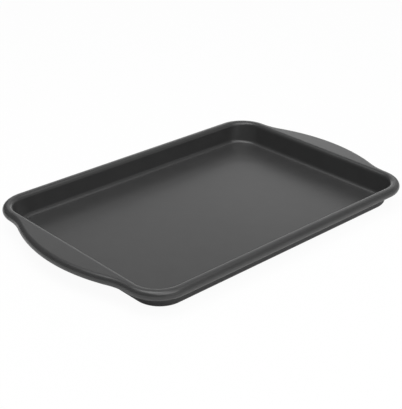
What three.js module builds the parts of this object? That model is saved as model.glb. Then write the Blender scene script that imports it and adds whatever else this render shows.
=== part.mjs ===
// Cookie sheet: one pressed steel sheet with a rolled rim, and the wire inside the roll.
// Millimetres, +Z up, the underside of the floor on z = 0, the length along X.
import * as THREE from 'three';

// Pressed sheet
const SHEET = 0.6;                 // steel with its coating
const FLOOR_LENGTH = 303.4;        // flat part of the floor
const FLOOR_WIDTH = 205.2;
const FLOOR_CORNER_RADIUS = 20.3;  // in plan
const PAN_HEIGHT = 22.7;           // underside of the floor to the top of the rim
const END_DRAFT = THREE.MathUtils.degToRad(12);
const SIDE_DRAFT = THREE.MathUtils.degToRad(5);
const FLOOR_FILLET_RADIUS = 4.5;   // floor to wall, inner face
const FOLD_RADIUS = 4.5;           // wall to flange, inner face
const FLANGE_FLAT = 1.2;           // level strip from the fold to the roll along the sides

// Handles: the rim of each end bows out and widens the flange to a grip
const HANDLE_REACH = 16.9;
const HANDLE_BLEND_RADIUS = 61;    // hollow curve from the corner to the bow

// Rolled rim and its wire
const RIM_CORNER_RADIUS = 28.6;    // in plan, on the roll's centre line
const ROLL_RADIUS = 4.55;          // outside of the roll where it leaves the flange
const ROLL_TURNS = 1.2;
const ROLL_GAP = 0.3;              // air between one turn and the next
const WIRE_CLEARANCE = 0.3;
const WIRE_BUTT_GAP = 1.5;         // between the two ends of the wire

// How finely the curves are stepped
const FILLET_STEPS = 4;
const CORNER_STEPS = 8;
const CROWN_STEPS = 5;
const BLEND_STEPS = 3;
const STEPS_PER_TURN = 15;
const WIRE_SIDES = 12;

// Sizes that follow from the ones above
const wallRise = PAN_HEIGHT - SHEET - FLOOR_FILLET_RADIUS - FOLD_RADIUS;
const bendRadii = FLOOR_FILLET_RADIUS + FOLD_RADIUS;
const rollCentreZ = PAN_HEIGHT - ROLL_RADIUS;
const rollPitch = SHEET + ROLL_GAP;
const wireRadius = rollRadius(ROLL_TURNS) - SHEET - WIRE_CLEARANCE;
const foldEndX = FLOOR_LENGTH / 2 + wallSpan(END_DRAFT);
const rimEndX = foldEndX + FLANGE_FLAT;
const rimSideY = FLOOR_WIDTH / 2 + wallSpan(SIDE_DRAFT) + FLANGE_FLAT;
const floorCorner = new THREE.Vector2(FLOOR_LENGTH / 2, FLOOR_WIDTH / 2).subScalar(FLOOR_CORNER_RADIUS);
const rimCorner = new THREE.Vector2(rimEndX, rimSideY).subScalar(RIM_CORNER_RADIUS);

// Each bow is a crown arc and two hollow blend arcs that meet it smoothly and end at the corners.
const bowAngle = 2 * Math.atan(HANDLE_REACH / rimCorner.y);
const crownRadius = rimCorner.y / Math.sin(bowAngle) - HANDLE_BLEND_RADIUS;
const crownX = rimEndX + HANDLE_REACH - crownRadius;

// The distance out from the floor's edge to the flange that a wall with this draft needs, and back.
function wallSpan(draft) {
  return wallRise * Math.tan(draft) + bendRadii / Math.cos(draft);
}

function draftOver(span) {
  return Math.acos(bendRadii / Math.hypot(span, wallRise)) - Math.atan2(wallRise, span);
}

// The roll shrinks with the square of its turns, by one pitch in the first, so its outside stays round.
function rollRadius(turn) {
  return ROLL_RADIUS - rollPitch * turn ** 2;
}

function spread(from, to, steps) {
  return Array.from({ length: steps + 1 }, (_, i) => from + (to - from) * i / steps);
}

function along(origin, direction, distance) {
  return origin.clone().addScaledVector(direction, distance);
}

function direction(angle) {
  return new THREE.Vector2(Math.cos(angle), Math.sin(angle));
}

// A station holds a point on the floor's edge, the points on the flange's start and on the roll's
// centre line that belong to it, and the ways out across the wall and across the roll.
function endStation(roll, rollOut) {
  const edge = new THREE.Vector2(FLOOR_LENGTH / 2, roll.y * floorCorner.y / rimCorner.y);
  return { edge, fold: new THREE.Vector2(foldEndX, roll.y), out: direction(0), roll, rollOut };
}

function crownStation(angle) {
  const out = direction(angle);
  return endStation(along(new THREE.Vector2(crownX, 0), out, crownRadius), out);
}

function blendStation(angle) {
  const centre = new THREE.Vector2(rimEndX + HANDLE_BLEND_RADIUS, rimCorner.y);
  const out = direction(angle);
  return endStation(along(centre, out, -HANDLE_BLEND_RADIUS), out);
}

function cornerStation(angle) {
  const out = direction(angle);
  const edge = along(floorCorner, out, FLOOR_CORNER_RADIUS);
  const fold = along(rimCorner, out, RIM_CORNER_RADIUS - FLANGE_FLAT);
  return { edge, fold, out, roll: along(rimCorner, out, RIM_CORNER_RADIUS), rollOut: out };
}

function turned(station, scaleX, scaleY) {
  const scale = new THREE.Vector2(scaleX, scaleY);
  return Object.fromEntries(
    Object.entries(station).map(([key, vector]) => [key, vector.clone().multiply(scale)]));
}

// From the middle of a handle to the long side, then the whole end, then both ends.
const quarter = [
  ...spread(0, bowAngle, CROWN_STEPS).map(crownStation),
  ...spread(bowAngle, 0, BLEND_STEPS).slice(1).map(blendStation),
  ...spread(0, Math.PI / 2, CORNER_STEPS).slice(1).map(cornerStation),
];
const rightEnd = [
  ...quarter.slice(1).reverse().map((station) => turned(station, 1, -1)),
  ...quarter,
];
const leftEnd = rightEnd.map((station) => turned(station, -1, -1));

function place(origin, out, [distance, height]) {
  const { x, y } = along(origin, out, distance);
  return new THREE.Vector3(x, y, height);
}

// The wall at one station: the bend up from the floor and the fold into the flange, with a straight
// slope between them. The inset is 0 on the inner face and the sheet's thickness on the outer face.
function wallColumn({ edge, fold, out }, inset) {
  const bend = Math.PI / 2 - draftOver(fold.clone().sub(edge).dot(out));
  const lowRadius = FLOOR_FILLET_RADIUS + inset;
  const highRadius = FOLD_RADIUS - inset;
  const low = spread(0, bend, FILLET_STEPS).map((angle) => place(edge, out,
    [lowRadius * Math.sin(angle), SHEET + FLOOR_FILLET_RADIUS - lowRadius * Math.cos(angle)]));
  const high = spread(bend, 0, FILLET_STEPS).map((angle) => place(fold, out,
    [-highRadius * Math.sin(angle), PAN_HEIGHT - FOLD_RADIUS + highRadius * Math.cos(angle)]));
  return [...low, ...high];
}

// The roll at one station: a spiral that winds in from the flange round the wire.
function rollColumn({ roll, rollOut }, inset) {
  const steps = Math.round(ROLL_TURNS * STEPS_PER_TURN);
  return spread(0, ROLL_TURNS, steps).map((turn) => {
    const radius = rollRadius(turn) - inset;
    const angle = 2 * Math.PI * turn;
    return place(roll, rollOut, [radius * Math.sin(angle), rollCentreZ + radius * Math.cos(angle)]);
  });
}

// One face of the sheet as rings round the pan, from the floor's edge to the sheet's free edge.
function faceRings(stations, inset) {
  const columns = stations.map((station) =>
    [...wallColumn(station, inset), ...rollColumn(station, inset)]);
  return columns[0].map((_, ring) => columns.map((column) => column[ring]));
}

// A closed solid through a row of rings, with the first and last ring closed flat.
function loft(rings) {
  const count = rings[0].length;
  const middle = (ring) =>
    ring.reduce((sum, point) => sum.add(point), new THREE.Vector3()).divideScalar(count);
  const points = [...rings.flat(), middle(rings[0]), middle(rings.at(-1))];
  const firstMiddle = points.length - 2;
  const lastMiddle = points.length - 1;
  const lastRing = (rings.length - 1) * count;
  const faces = [];
  for (let i = 0; i < count; i += 1) {
    const next = (i + 1) % count;
    faces.push(firstMiddle, i, next);
    faces.push(lastMiddle, lastRing + next, lastRing + i);
    for (let ring = 0; ring < lastRing; ring += count) {
      const above = ring + count;
      faces.push(ring + i, above + i, above + next);
      faces.push(ring + i, above + next, ring + next);
    }
  }
  const geometry = new THREE.BufferGeometry().setFromPoints(points);
  geometry.setIndex(faces);
  geometry.computeVertexNormals();
  return geometry;
}

function panBody() {
  const stations = [...rightEnd, ...leftEnd];
  return loft([...faceRings(stations, 0), ...faceRings(stations, SHEET).reverse()]);
}

// The wire runs once round the roll's centre line and its ends meet on one long side.
function rimWire() {
  const wireEnd = (x) => ({ roll: new THREE.Vector2(x, rimSideY), rollOut: direction(Math.PI / 2) });
  const route = [
    wireEnd(-WIRE_BUTT_GAP / 2), ...leftEnd, ...rightEnd, wireEnd(WIRE_BUTT_GAP / 2),
  ];
  const angles = spread(2 * Math.PI, 0, WIRE_SIDES).slice(1);
  return loft(route.map(({ roll, rollOut }) => angles.map((angle) =>
    place(roll, rollOut,
      [wireRadius * Math.sin(angle), rollCentreZ + wireRadius * Math.cos(angle)]))));
}

function piece(name, geometry, material) {
  const mesh = new THREE.Mesh(geometry, new THREE.MeshStandardMaterial(material));
  mesh.name = name;
  return mesh;
}

const cookieSheet = new THREE.Group();
cookieSheet.name = 'cookie_sheet';
cookieSheet.add(
  piece('pan_body', panBody(), { color: 0x47484a, roughness: 0.42, metalness: 0.35 }),
  piece('rim_wire', rimWire(), { color: 0xb4b8bc, roughness: 0.35, metalness: 1.0 }),
);

export default cookieSheet;
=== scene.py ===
# %% [markdown]
# # A cookie sheet with a rolled rim
# The real object is one thin steel sheet, pressed into a shallow tray and sprayed dark grey. Its
# edge is rolled round a stiff wire. The solids of both pieces are already built at their real size,
# so this lesson starts by loading them. It then lays smooth skins over them, finishes the surfaces
# and sets up the studio in which the sheet is seen.

import bpy
import numpy as np
from mathutils import Matrix, Vector


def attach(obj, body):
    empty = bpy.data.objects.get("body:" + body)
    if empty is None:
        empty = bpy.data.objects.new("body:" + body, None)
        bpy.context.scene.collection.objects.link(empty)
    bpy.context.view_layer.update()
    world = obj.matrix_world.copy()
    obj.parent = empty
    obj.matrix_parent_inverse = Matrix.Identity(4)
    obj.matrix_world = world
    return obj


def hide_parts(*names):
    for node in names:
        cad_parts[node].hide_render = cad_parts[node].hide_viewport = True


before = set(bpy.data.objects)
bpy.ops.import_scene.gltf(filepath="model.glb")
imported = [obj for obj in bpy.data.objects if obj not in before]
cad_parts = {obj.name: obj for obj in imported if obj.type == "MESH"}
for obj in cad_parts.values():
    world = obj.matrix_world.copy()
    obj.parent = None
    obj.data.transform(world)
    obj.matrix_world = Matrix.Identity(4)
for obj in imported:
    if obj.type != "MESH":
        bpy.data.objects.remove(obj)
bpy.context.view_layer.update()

# %% [markdown]
# ## The sizes of the pressing
# A press tool is drawn from a few sizes: the flat floor, the bends, the slope of the walls and the
# reach of the handles. The skins below could copy the solids' points, but then every curve would
# keep their coarse facets. So the sizes are written here once, in metres, and every curve is worked
# out again from them as finely as a close view needs.

# %% Driving sizes
MM = 0.001
SHEET = 0.6 * MM
FLOOR_LENGTH = 303.4 * MM
FLOOR_WIDTH = 205.2 * MM
FLOOR_CORNER_RADIUS = 20.3 * MM
PAN_HEIGHT = 22.7 * MM
END_DRAFT = np.radians(12)
SIDE_DRAFT = np.radians(5)
FLOOR_FILLET_RADIUS = 4.5 * MM
FOLD_RADIUS = 4.5 * MM
FLANGE_FLAT = 1.2 * MM
HANDLE_REACH = 16.9 * MM
HANDLE_BLEND_RADIUS = 61 * MM
RIM_CORNER_RADIUS = 28.6 * MM
ROLL_RADIUS = 4.55 * MM
ROLL_TURNS = 1.2
ROLL_GAP = 0.3 * MM
WIRE_CLEARANCE = 0.3 * MM
WIRE_BUTT_GAP = 1.5 * MM

wall_rise = PAN_HEIGHT - SHEET - FLOOR_FILLET_RADIUS - FOLD_RADIUS
bend_radii = FLOOR_FILLET_RADIUS + FOLD_RADIUS
roll_centre_height = PAN_HEIGHT - ROLL_RADIUS
roll_pitch = SHEET + ROLL_GAP
last_radius = ROLL_RADIUS - roll_pitch * ROLL_TURNS**2
wire_radius = last_radius - SHEET - WIRE_CLEARANCE


def wall_span(draft):
    """Distance out from the floor's edge to the flange: the slope's run and both bends."""
    return wall_rise * np.tan(draft) + bend_radii / np.cos(draft)


def draft_over(span):
    """The draft of a wall that runs out this far: the span formula turned round."""
    return np.arccos(bend_radii / np.hypot(span, wall_rise)) - np.arctan2(wall_rise, span)


fold_end_x = FLOOR_LENGTH / 2 + wall_span(END_DRAFT)
rim_end_x = fold_end_x + FLANGE_FLAT
rim_side_y = FLOOR_WIDTH / 2 + wall_span(SIDE_DRAFT) + FLANGE_FLAT
floor_corner = np.array([FLOOR_LENGTH, FLOOR_WIDTH]) / 2 - FLOOR_CORNER_RADIUS
rim_corner = np.array([rim_end_x, rim_side_y]) - RIM_CORNER_RADIUS
print(f"rim {2 * rim_end_x / MM:.1f} by {2 * rim_side_y / MM:.1f} mm")
print(f"wire {2 * wire_radius / MM:.2f} mm thick")

# %% [markdown]
# ## The outline of the rim
# Seen from above, the rim is a rectangle with round corners whose two short ends bow out into
# handles. It could be drawn as one spline, but a toolmaker draws it with arcs that meet smoothly: a
# wide crown at the handle, a hollow blend on each side of it, and a corner. One quarter is enough,
# because the other three are its mirror images. Each station on the outline also holds the point on
# the floor's edge that it belongs to and the point where its flange starts. The floor's corners are
# tighter than the rim's, so the wall leans out further there, and each station finds its own lean.

# %% Arcs and stations
def arc(centre, radius, start, stop, steps):
    """Points at one radius round a centre, from one angle to another, with the directions outwards.
    A negative radius gives a hollow arc, whose outward direction points at its centre."""
    angle = np.linspace(start, stop, steps + 1)
    out = np.stack([np.cos(angle), np.sin(angle)], axis=1)
    return np.array(centre) + radius * out, out


def stations(edge, fold, out, roll, roll_out):
    """One row for each station: floor edge, flange start, way out, roll centre, way out from the roll."""
    parts = (edge, fold, out, roll, roll_out)
    return np.concatenate([np.broadcast_to(part, roll.shape) for part in parts], axis=1)


def end_stations(roll, roll_out):
    """Stations along a handle. Their wall points are shared out evenly along the floor's end edge."""
    y = roll[:, 1]
    edge = np.stack([np.full_like(y, FLOOR_LENGTH / 2), y * floor_corner[1] / rim_corner[1]], axis=1)
    fold = np.stack([np.full_like(y, fold_end_x), y], axis=1)
    return stations(edge, fold, np.array([1.0, 0.0]), roll, roll_out)


bow_angle = 2 * np.arctan(HANDLE_REACH / rim_corner[1])
crown_radius = rim_corner[1] / np.sin(bow_angle) - HANDLE_BLEND_RADIUS
crown_x = rim_end_x + HANDLE_REACH - crown_radius
print(f"handle crown radius {crown_radius / MM:.1f} mm, bow angle {np.degrees(bow_angle):.1f} degrees")

# %% One quarter, then the whole rim
CROWN_STEPS = 18
BLEND_STEPS = 12
CORNER_STEPS = 22
SIDE_SHARES = np.array([1, 0.995, 0.9, 0.7, 0.5, 0.3, 0.15, 0])

crown = end_stations(*arc((crown_x, 0), crown_radius, 0, bow_angle, CROWN_STEPS))
blend_centre = (rim_end_x + HANDLE_BLEND_RADIUS, rim_corner[1])
blend = end_stations(*arc(blend_centre, -HANDLE_BLEND_RADIUS, bow_angle, 0, BLEND_STEPS))
corner_edge, corner_out = arc(floor_corner, FLOOR_CORNER_RADIUS, 0, np.pi / 2, CORNER_STEPS)
corner_fold, _ = arc(rim_corner, RIM_CORNER_RADIUS - FLANGE_FLAT, 0, np.pi / 2, CORNER_STEPS)
corner_roll, _ = arc(rim_corner, RIM_CORNER_RADIUS, 0, np.pi / 2, CORNER_STEPS)
corner = stations(corner_edge, corner_fold, corner_out, corner_roll, corner_out)
to_middle = SIDE_SHARES[:, None] * (1, 0) + np.array([0, 1])
side_out = np.array([0.0, 1.0])
side = stations(to_middle * corner_edge[-1], to_middle * corner_fold[-1], side_out,
                to_middle * corner_roll[-1], side_out)
quarter = np.concatenate([crown, blend[1:], corner[1:], side[1:]])


def mirrored_quarters(rows):
    """The whole loop from one quarter: every second quarter is mirrored and so runs backwards.
    Each leg leaves out its last row, which is the first row of the next leg."""
    legs = []
    for number, signs in enumerate([(1, 1), (-1, 1), (-1, -1), (1, -1)]):
        leg = rows * np.tile(signs, rows.shape[1] // 2)
        legs.append((leg[::-1] if number % 2 else leg)[:-1])
    return np.concatenate(legs)


rim = mirrored_quarters(quarter)
floor_edge, fold_edge, wall_out, roll_centre, roll_out = np.split(rim, 5, axis=1)
wall_bend = np.pi / 2 - draft_over(np.sum((fold_edge - floor_edge) * wall_out, axis=1))
print("stations round the rim:", len(rim))

# %% [markdown]
# ## The cross-section of the sheet
# Cut through the rim, the sheet is a thin band: floor, bend, sloping wall, fold, level flange, and a
# roll that winds inwards like a spiral until its free edge is hidden. A Solidify modifier could
# thicken one surface, but the roll's turns lie so close that both faces are better worked out from
# one formula. The inset is 0 on the inner face and the sheet's thickness on the outer face.

# %% Profiles in distance out and height
BEND_STEPS = 14
ROLL_STEPS_PER_TURN = 44
EDGE_ROUND_STEPS = 6


def between(first, last, axis, shares=(0.03, 0.5, 0.97)):
    """Both blocks of rows with a few straight rows between them. The rows close to each bend keep
    its smooth shading from spreading over the flat."""
    start = np.take(first, [-1], axis)
    stop = np.take(last, [0], axis)
    links = [start + share * (stop - start) for share in shares]
    return np.concatenate([first, *links, last], axis)


def spiral(inset):
    """A spiral from the top of the roll. Its radius shrinks with the square of the turns, so that the
    part in view stays nearly round, and by one pitch in the first turn."""
    turn = np.linspace(0, ROLL_TURNS, round(ROLL_TURNS * ROLL_STEPS_PER_TURN) + 1)
    radius = ROLL_RADIUS - roll_pitch * turn**2 - inset
    angle = 2 * np.pi * turn
    return np.stack([radius * np.sin(angle), roll_centre_height + radius * np.cos(angle)], axis=1)


def rounded_free_edge():
    """A half circle over the sheet's free edge, from its inner face round to its outer face."""
    end = 2 * np.pi * ROLL_TURNS
    outwards = np.array([np.sin(end), np.cos(end)])
    onwards = np.array([np.cos(end), -np.sin(end)])
    middle = (last_radius - SHEET / 2) * outwards + (0, roll_centre_height)
    angle = np.linspace(0, np.pi, EDGE_ROUND_STEPS + 1)[1:-1, None]
    return middle + SHEET / 2 * (np.cos(angle) * outwards + np.sin(angle) * onwards)


roll_profile = np.concatenate([spiral(0), rounded_free_edge(), spiral(SHEET)[::-1]])
print("points round the roll:", len(roll_profile))

# %% [markdown]
# ## The pan's skin
# The skin is the profile carried round the outline: rows of points follow the profile, columns
# follow the rim. The wall's rows are carried from the floor's edge and the roll's rows from the
# outline, each square to its own path, so the roll stays round where the handle bows out. The flat
# flange bridges the two. The floor closes each end of the rows with rings that shrink to one point.

# %% Rows of the floor, the wall and the roll
FLOOR_RINGS = np.array([0.1, 0.3, 0.5, 0.7, 0.85, 0.95, 0.99])


def lift(origin, out, distance, height):
    """Rows by columns of points: at each station, the given distances out from it and heights."""
    plan = origin[None] + distance[..., None] * out[None]
    return np.concatenate([plan, np.broadcast_to(height[..., None], plan.shape[:2] + (1,))], axis=2)


def wall_rows(inset):
    """Rows of the wall: a bend about a centre above the floor's edge and a bend about a centre below
    the start of the flange, each turning through a quarter less the draft, joined by a straight slope."""
    angle = np.linspace(0, 1, BEND_STEPS + 1)[:, None] * wall_bend[None]
    low_radius = FLOOR_FILLET_RADIUS + inset
    high_radius = FOLD_RADIUS - inset
    low = lift(floor_edge, wall_out, low_radius * np.sin(angle),
               SHEET + FLOOR_FILLET_RADIUS - low_radius * np.cos(angle))
    high = lift(fold_edge, wall_out, -high_radius * np.sin(angle),
                PAN_HEIGHT - FOLD_RADIUS + high_radius * np.cos(angle))
    return between(low, high[::-1], axis=0)


def floor_rows(height):
    """Rings of the floor: the floor's edge drawn in towards the middle by growing shares."""
    plan = FLOOR_RINGS[:, None, None] * floor_edge[None]
    return np.concatenate([plan, np.full(plan.shape[:2] + (1,), height)], axis=2)


inner_wall = np.concatenate([floor_rows(SHEET), wall_rows(0)])
outer_wall = np.concatenate([floor_rows(0), wall_rows(SHEET)])
rolled_edge = lift(roll_centre, roll_out, roll_profile[:, :1], roll_profile[:, 1:])
pan_rows = between(between(inner_wall, rolled_edge, axis=0), outer_wall[::-1], axis=0)
print("rows of the pan:", len(pan_rows), "each of", pan_rows.shape[1], "points")

# %% Join the rows into a skin
def skin(name, rows, first_pole, last_pole):
    """A closed mesh: each row of points is a loop, quads join each row to the next, and triangles
    join the first and the last row to one point each."""
    count, around = rows.shape[:2]
    here = np.arange(count * around).reshape(count, around)
    ahead = np.roll(here, -1, axis=1)
    quads = np.stack([here[:-1], here[1:], ahead[1:], ahead[:-1]], axis=-1).reshape(-1, 4)
    poles = count * around + np.arange(2)[:, None] + np.zeros(around, int)
    first = np.stack([poles[0], here[0], ahead[0]], axis=1)
    last = np.stack([poles[1], ahead[-1], here[-1]], axis=1)
    points = np.concatenate([rows.reshape(-1, 3), [first_pole, last_pole]])
    mesh = bpy.data.meshes.new(name)
    mesh.from_pydata(points.tolist(), [], quads.tolist() + first.tolist() + last.tolist())
    mesh.polygons.foreach_set("use_smooth", np.ones(len(mesh.polygons), bool))
    piece = bpy.data.objects.new(name, mesh)
    bpy.context.scene.collection.objects.link(piece)
    print(f"{name}: {len(mesh.vertices)} points, {len(quads) * 2 + 2 * around} triangles")
    return piece


pan = skin("coated_pan", pan_rows, (0, 0, SHEET), (0, 0, 0))

# %% [markdown]
# ## The wire in the rim
# The wire is one length, bent to the outline, and its cut ends meet on a long side. It could be a
# curve object with a bevel, but the same function makes it: a circle at each station, carried along
# the roll's centre line, with the cut ends slightly deburred. Drawing the wire through a die leaves
# streaks along it, so each point also keeps its own place on the wire for the finish to read.

# %% Bend the wire
WIRE_SIDES = 24
DEBURR = 0.3 * MM


def wire_route():
    """Stations from just past the middle of one long side, once round, to just before it, with one
    more beside each cut end where the wire is deburred."""
    gap_middle = np.argmin(np.abs(roll_centre[:, 0]) - roll_centre[:, 1])
    once_round = np.roll(np.concatenate([roll_centre, roll_out], axis=1), -gap_middle, axis=0)[1:]
    ends = np.array([WIRE_BUTT_GAP / 2, WIRE_BUTT_GAP / 2 + DEBURR])
    after = np.stack([-ends, np.full(2, rim_side_y), np.zeros(2), np.ones(2)], axis=1)
    before = after[::-1] * (-1, 1, 1, 1)
    return np.concatenate([after, once_round, before])


around_wire = np.linspace(2 * np.pi, 0, WIRE_SIDES, endpoint=False)
route = wire_route()
thickness = np.full((len(route), 1), wire_radius)
thickness[[0, -1]] -= DEBURR
wire_side = thickness * np.sin(around_wire)
wire_top = thickness * np.cos(around_wire)
wire_plan = route[:, None, :2] + wire_side[..., None] * route[:, None, 2:]
wire_rows = np.concatenate([wire_plan, roll_centre_height + wire_top[..., None]], axis=2)
wire_end = (WIRE_BUTT_GAP / 2, rim_side_y, roll_centre_height)
wire = skin("stiffening_wire", wire_rows, (-wire_end[0], *wire_end[1:]), wire_end)

# %% Keep each point's place on the wire
STREAK_STRETCH = 50


def keep_drawn_place():
    """An attribute for each point: how far along the wire it is, shrunk so that a pattern stretches,
    then its place across the wire."""
    step = np.linalg.norm(np.diff(route[:, :2], axis=0), axis=1)
    along = np.concatenate([[0], np.cumsum(step)])
    shrunk = np.broadcast_to(along[:, None] / STREAK_STRETCH, wire_side.shape)
    rings = np.stack([shrunk, wire_side, wire_top], axis=2)
    poles = [(shrunk[0, 0], 0, 0), (shrunk[-1, 0], 0, 0)]
    place = np.concatenate([rings.reshape(-1, 3), poles])
    drawn = wire.data.attributes.new("drawn", "FLOAT_VECTOR", "POINT")
    drawn.data.foreach_set("vector", place.ravel())
    return along[-1]


print(f"wire length {keep_drawn_place():.3f} m")

# %% [markdown]
# ## Each skin stands for its solid
# The solids stay in the model for weight and contact. Each skin says which solid it replaces and which
# body it moves with.

# %% Tie the skins to the solids
for piece, node, finish in ((pan, "pan_body", "nonstick_coating"), (wire, "rim_wire", "wire_steel")):
    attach(piece, "root")
    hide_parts(node)
    print(piece.name, "stands for", node)

# %% [markdown]
# ## Fine unevenness of a sprayed or drawn surface
# A sprayed coat dries with a faint orange peel and a slightly uneven shine, and drawn wire has fine
# streaks. Both are two layers of noise, one broad and one fine. They could be built twice, but as one
# node group they are built once, and each material places it with its own sizes.

# %% Node helper and the shared group
def add_node(tree, kind, sockets=None, **settings):
    """A new node in a tree, with its own settings and then the values of its sockets by name."""
    node = tree.nodes.new(kind)
    for name, value in settings.items():
        setattr(node, name, value)
    for name, value in (sockets or {}).items():
        node.inputs[name].default_value = value
    return node


def make_unevenness():
    """Broad noise as a mottle from 0 to 1 and fine noise as a grain from 0 to 1."""
    group = bpy.data.node_groups.new("surface_unevenness", "ShaderNodeTree")
    group.interface.new_socket("Place", in_out="INPUT", socket_type="NodeSocketVector")
    start = add_node(group, "NodeGroupInput")
    stop = add_node(group, "NodeGroupOutput")
    for layer, detail in (("Mottle", 1.0), ("Grain", 0.5)):
        group.interface.new_socket(layer + " Scale", in_out="INPUT", socket_type="NodeSocketFloat")
        group.interface.new_socket(layer, in_out="OUTPUT", socket_type="NodeSocketFloat")
        noise = add_node(group, "ShaderNodeTexNoise", {"Detail": detail})
        group.links.new(start.outputs["Place"], noise.inputs["Vector"])
        group.links.new(start.outputs[layer + " Scale"], noise.inputs["Scale"])
        group.links.new(noise.outputs["Fac"], stop.inputs[layer])
    return group


unevenness = make_unevenness()
print("shared group:", unevenness.name, [socket.name for socket in unevenness.interface.items_tree])

# %% [markdown]
# ## The non-stick coat
# The coat is a dark grey satin lacquer: it mirrors pale surroundings softly at a low angle and looks
# nearly black where it faces something dark. A glossy layer could be mixed over a matt one by hand,
# but a Principled shader with a dark base and a middling roughness does that by itself. The mottle
# shifts its shade and shine a little, and the grain gives the orange peel. The roughness stays above
# 0.27, because a denoiser takes anything smoother for a mirror and leaves specks where the two meet.

# %% Coat material
COAT_SHADES = ((0.0365, 0.0367, 0.0367, 1), (0.0455, 0.0457, 0.0457, 1))
COAT_ROUGHNESS = (0.28, 0.31)
COAT_CELLS = {"Mottle Scale": 60.0, "Grain Scale": 450.0}  # patches of noise to a metre
COAT_PEEL = 0.03 * MM
LACQUER_IOR = 1.5


def new_material(name):
    """A material with a Principled shader, its node tree and that shader."""
    material = bpy.data.materials.new(name)
    material.use_nodes = True
    return material, material.node_tree, material.node_tree.nodes["Principled BSDF"]


def shade_and_shine(tree, shader, uneven, shades, roughness):
    """The mottle picks a colour between two shades and a roughness between two values."""
    ramp = add_node(tree, "ShaderNodeValToRGB")
    ramp.color_ramp.elements[0].color, ramp.color_ramp.elements[1].color = shades
    tree.links.new(uneven.outputs["Mottle"], ramp.inputs["Fac"])
    tree.links.new(ramp.outputs["Color"], shader.inputs["Base Color"])
    gloss = add_node(tree, "ShaderNodeMapRange", {"To Min": roughness[0], "To Max": roughness[1]})
    tree.links.new(uneven.outputs["Mottle"], gloss.inputs["Value"])
    tree.links.new(gloss.outputs["Result"], shader.inputs["Roughness"])


def raise_grain(tree, shader, uneven, strength, depth):
    """The grain lifts the surface by a share of a depth, as a bump that only tilts the normal."""
    bump = add_node(tree, "ShaderNodeBump", {"Strength": strength, "Distance": depth})
    tree.links.new(uneven.outputs["Grain"], bump.inputs["Height"])
    tree.links.new(bump.outputs["Normal"], shader.inputs["Normal"])


def make_coat():
    """Dark lacquer whose mottle and grain are placed by the pan's own coordinates in metres."""
    material, tree, shader = new_material("nonstick_coat")
    shader.inputs["IOR"].default_value = LACQUER_IOR
    uneven = add_node(tree, "ShaderNodeGroup", COAT_CELLS, node_tree=unevenness)
    tree.links.new(add_node(tree, "ShaderNodeTexCoord").outputs["Object"], uneven.inputs["Place"])
    shade_and_shine(tree, shader, uneven, COAT_SHADES, COAT_ROUGHNESS)
    raise_grain(tree, shader, uneven, strength=0.3, depth=COAT_PEEL)
    return material


pan.data.materials.append(make_coat())
print("pan finish:", pan.data.materials[0].name, "shades", COAT_SHADES)

# %% [markdown]
# ## The steel of the wire
# The wire is bare drawn steel, and the roll hides it. It still gets its own finish, because someone
# may open the rim or use the wire alone. Its streaks could be painted on a UV map, but the shared
# noise makes them too when it reads the place on the wire, which is shrunk along its length.

# %% Wire material
STEEL_SHADES = ((0.38, 0.39, 0.41, 1), (0.52, 0.53, 0.55, 1))
STEEL_ROUGHNESS = (0.28, 0.44)
STEEL_CELLS = {"Mottle Scale": 900.0, "Grain Scale": 4000.0}  # streaks to a metre across the wire
STEEL_SCRATCH = 0.01 * MM


def make_wire_steel():
    """Bare metal whose mottle and grain are placed along and across the wire, and so become streaks."""
    material, tree, shader = new_material("drawn_wire_steel")
    shader.inputs["Metallic"].default_value = 1.0
    uneven = add_node(tree, "ShaderNodeGroup", STEEL_CELLS, node_tree=unevenness)
    place = add_node(tree, "ShaderNodeAttribute", attribute_name="drawn")
    tree.links.new(place.outputs["Vector"], uneven.inputs["Place"])
    shade_and_shine(tree, shader, uneven, STEEL_SHADES, STEEL_ROUGHNESS)
    raise_grain(tree, shader, uneven, strength=0.2, depth=STEEL_SCRATCH)
    return material


wire.data.materials.append(make_wire_steel())
print("wire finish:", wire.data.materials[0].name, "shades", STEEL_SHADES)

# %% [markdown]
# ## The white table
# The sheet stands on a white table that runs out of the picture. Enough light to turn the table white
# would wash out the sheet, so the table is matt white with a glow that only some rays see. The camera
# sees most of it, the sheet's gloss mirrors some of it, and no light from it falls on the sheet. What
# is left of the matt white keeps a faint shadow. The table lies a hair below the sheet, because two
# faces at the very same height would flicker.

# %% Lay the table
TABLE_HALF = 6.0
TABLE_TOP = -0.02 * MM
MATT_WHITE = (0.9, 0.9, 0.9, 1)
FULL_WHITE = (1, 1, 1, 1)


def glow_share(tree, camera_share, mirrored_share):
    """How much of a white glows: one share for a ray from the camera, another for a ray that the
    object mirrors or lets through, and nothing for every other ray."""
    path = add_node(tree, "ShaderNodeLightPath")
    seen = add_node(tree, "ShaderNodeMath", operation="MULTIPLY")
    seen.inputs[1].default_value = camera_share
    tree.links.new(path.outputs["Is Camera Ray"], seen.inputs[0])
    mirrored = add_node(tree, "ShaderNodeMath", operation="MAXIMUM")
    tree.links.new(path.outputs["Is Glossy Ray"], mirrored.inputs[0])
    tree.links.new(path.outputs["Is Transmission Ray"], mirrored.inputs[1])
    share = add_node(tree, "ShaderNodeMath", operation="MULTIPLY_ADD")
    share.inputs[1].default_value = mirrored_share
    tree.links.new(mirrored.outputs[0], share.inputs[0])
    tree.links.new(seen.outputs[0], share.inputs[2])
    return share.outputs[0]


def mix_to_output(tree, share, plain, glowing, output):
    """The plain and the glowing shader mixed by a share, as the tree's surface."""
    mix = add_node(tree, "ShaderNodeMixShader")
    tree.links.new(share, mix.inputs[0])
    tree.links.new(plain.outputs[0], mix.inputs[1])
    tree.links.new(glowing.outputs[0], mix.inputs[2])
    tree.links.new(mix.outputs[0], add_node(tree, output).inputs["Surface"])


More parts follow.
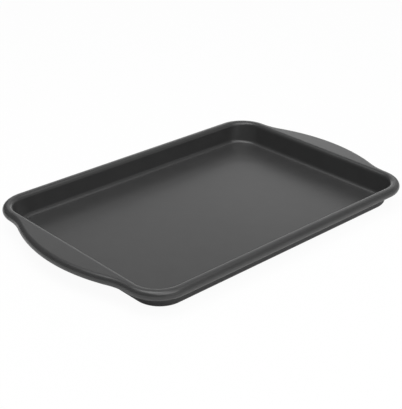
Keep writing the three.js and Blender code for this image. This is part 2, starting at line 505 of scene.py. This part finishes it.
def make_table():
    """One square face with its middle under the sheet."""
    plan = np.array([(-1, -1), (1, -1), (1, 1), (-1, 1)]) * TABLE_HALF
    corners = np.column_stack([plan, np.full(len(plan), TABLE_TOP)])
    mesh = bpy.data.meshes.new("table")
    mesh.from_pydata(corners.tolist(), [], [(0, 1, 2, 3)])
    material = bpy.data.materials.new("table_white")
    material.use_nodes = True
    tree = material.node_tree
    tree.nodes.clear()
    matt = add_node(tree, "ShaderNodeBsdfDiffuse", {"Color": MATT_WHITE})
    glow = add_node(tree, "ShaderNodeEmission", {"Color": FULL_WHITE, "Strength": 1.0})
    share = glow_share(tree, camera_share=0.95, mirrored_share=0.15)
    mix_to_output(tree, share, matt, glow, "ShaderNodeOutputMaterial")
    mesh.materials.append(material)
    table = bpy.data.objects.new("table", mesh)
    bpy.context.scene.collection.objects.link(table)
    return table


table = make_table()
print("table side", 2 * TABLE_HALF, "m")

# %% [markdown]
# ## The light of the studio
# A satin coat shows its surroundings as much as its own colour, so the light is also what the coat
# mirrors. A picture of a studio could light it, but panels can be set one by one against a photograph.
# The two overhead panels light the top of the near rim, and the small one draws the bright spot on its
# corner. The low glow behind the sheet brightens its floor, which the camera sees at a low angle. The
# front panels light the far walls, and the left side stays dark, so that the bead of the left handle
# turns dark too. A brightness of 1 is white, and together they light a level surface about that
# brightly.

# %% World
FILL = 0.1  # brightness of the world, where 1 is white


def make_world():
    """A dim fill from everywhere, and the table's white where the camera looks past its edge."""
    world = bpy.data.worlds.new("studio")
    bpy.context.scene.world = world
    world.use_nodes = True
    tree = world.node_tree
    tree.nodes.clear()
    fill = add_node(tree, "ShaderNodeBackground", {"Color": (FILL, FILL, FILL, 1)})
    white = add_node(tree, "ShaderNodeBackground", {"Color": FULL_WHITE})
    share = glow_share(tree, camera_share=0.95, mirrored_share=0.02)
    mix_to_output(tree, share, fill, white, "ShaderNodeOutputWorld")
    return world


print("world:", make_world().name, "fill", FILL)

# %% Soft panels overhead and in front
def soft_panel(name, azimuth, elevation, distance, width, height, brightness):
    """A flat lamp that faces the sheet from an azimuth and an elevation in degrees. Its power is its
    brightness times its area times pi."""
    azimuth, elevation = np.radians(azimuth), np.radians(elevation)
    level = np.array([np.cos(azimuth), np.sin(azimuth), 0])
    away = Vector(level * np.cos(elevation) + (0, 0, np.sin(elevation)))
    across = Vector((-np.sin(azimuth), np.cos(azimuth), 0))
    lamp = bpy.data.lights.new(name, "AREA")
    lamp.shape = "RECTANGLE"
    lamp.size = width
    lamp.size_y = height
    lamp.energy = brightness * np.pi * width * height
    holder = bpy.data.objects.new(name, lamp)
    turn = Matrix((across, away.cross(across), away)).transposed()
    holder.matrix_world = Matrix.Translation(away * distance) @ turn.to_4x4()
    bpy.context.scene.collection.objects.link(holder)
    print(f"{name}: {lamp.energy:.1f} W")

soft_panel("overhead", azimuth=226, elevation=85, distance=1.5, width=2.0, height=1.6, brightness=0.8)
soft_panel("overhead_small", azimuth=170, elevation=79, distance=1.2, width=0.7, height=0.7, brightness=3.1)
soft_panel("front_fill", azimuth=255, elevation=52, distance=1.8, width=1.6, height=1.0, brightness=2.65)
soft_panel("front_low", azimuth=270, elevation=16, distance=2.2, width=1.2, height=0.7, brightness=1.0)

# %% Soft panels behind and at the sides
soft_panel("back_glow", azimuth=46, elevation=12, distance=2.5, width=1.8, height=0.7, brightness=1.35)
soft_panel("handle_glow", azimuth=34, elevation=21, distance=2.5, width=0.6, height=0.4, brightness=0.25)
soft_panel("back_wall", azimuth=44, elevation=28, distance=2.6, width=1.9, height=0.85, brightness=0.44)
soft_panel("back_high", azimuth=46, elevation=47, distance=2.2, width=1.9, height=0.9, brightness=0.2)
soft_panel("back_right", azimuth=2, elevation=24, distance=2.6, width=1.8, height=1.4, brightness=0.45)
soft_panel("right_low", azimuth=-40, elevation=15, distance=2.4, width=2.2, height=0.8, brightness=0.45)
soft_panel("right_high", azimuth=-20, elevation=54, distance=1.8, width=1.6, height=0.9, brightness=0.22)
soft_panel("left_high", azimuth=105, elevation=58, distance=1.6, width=1.2, height=0.6, brightness=0.45)

# %% [markdown]
# ## The camera
# The camera stands where the photograph was taken from. It could be nudged by eye until the outlines
# agree, but here its place was worked out from the outline: an angle round the sheet, an angle above
# the table and a distance. Its lens is a focal length in pixels of the picture.

# %% Camera
PHOTO_LONG_SIDE = 409
FOCAL_PIXELS = 993.8
SENSOR = 36.0
VIEW_AZIMUTH = np.radians(-43.419)
VIEW_ELEVATION = np.radians(26.440)
VIEW_ROLL = np.radians(0.781)
VIEW_DISTANCE = 980.7 * MM
VIEW_TARGET = Vector((7.18 * MM, 15.70 * MM, 0))


def make_camera():
    """The camera stands back from its target by a distance, along two angles, and is rolled a little
    about its own axis. Its lens in mm is the focal length in pixels times sensor over picture size."""
    level = np.cos(VIEW_ELEVATION)
    back = Vector((np.sin(VIEW_AZIMUTH) * level, -np.cos(VIEW_AZIMUTH) * level, np.sin(VIEW_ELEVATION)))
    camera = bpy.data.objects.new("camera", bpy.data.cameras.new("camera"))
    camera.data.sensor_width = SENSOR
    camera.data.lens = FOCAL_PIXELS * SENSOR / PHOTO_LONG_SIDE
    turn = back.to_track_quat("Z", "Y").to_matrix() @ Matrix.Rotation(VIEW_ROLL, 3, "Z")
    camera.matrix_world = Matrix.Translation(VIEW_TARGET + back * VIEW_DISTANCE) @ turn.to_4x4()
    bpy.context.scene.collection.objects.link(camera)
    bpy.context.scene.camera = camera
    print("camera at", [round(value, 3) for value in camera.matrix_world.translation])


make_camera()
bpy.context.scene.view_settings.view_transform = "Standard"

# %% Update the scene
bpy.context.view_layer.update()
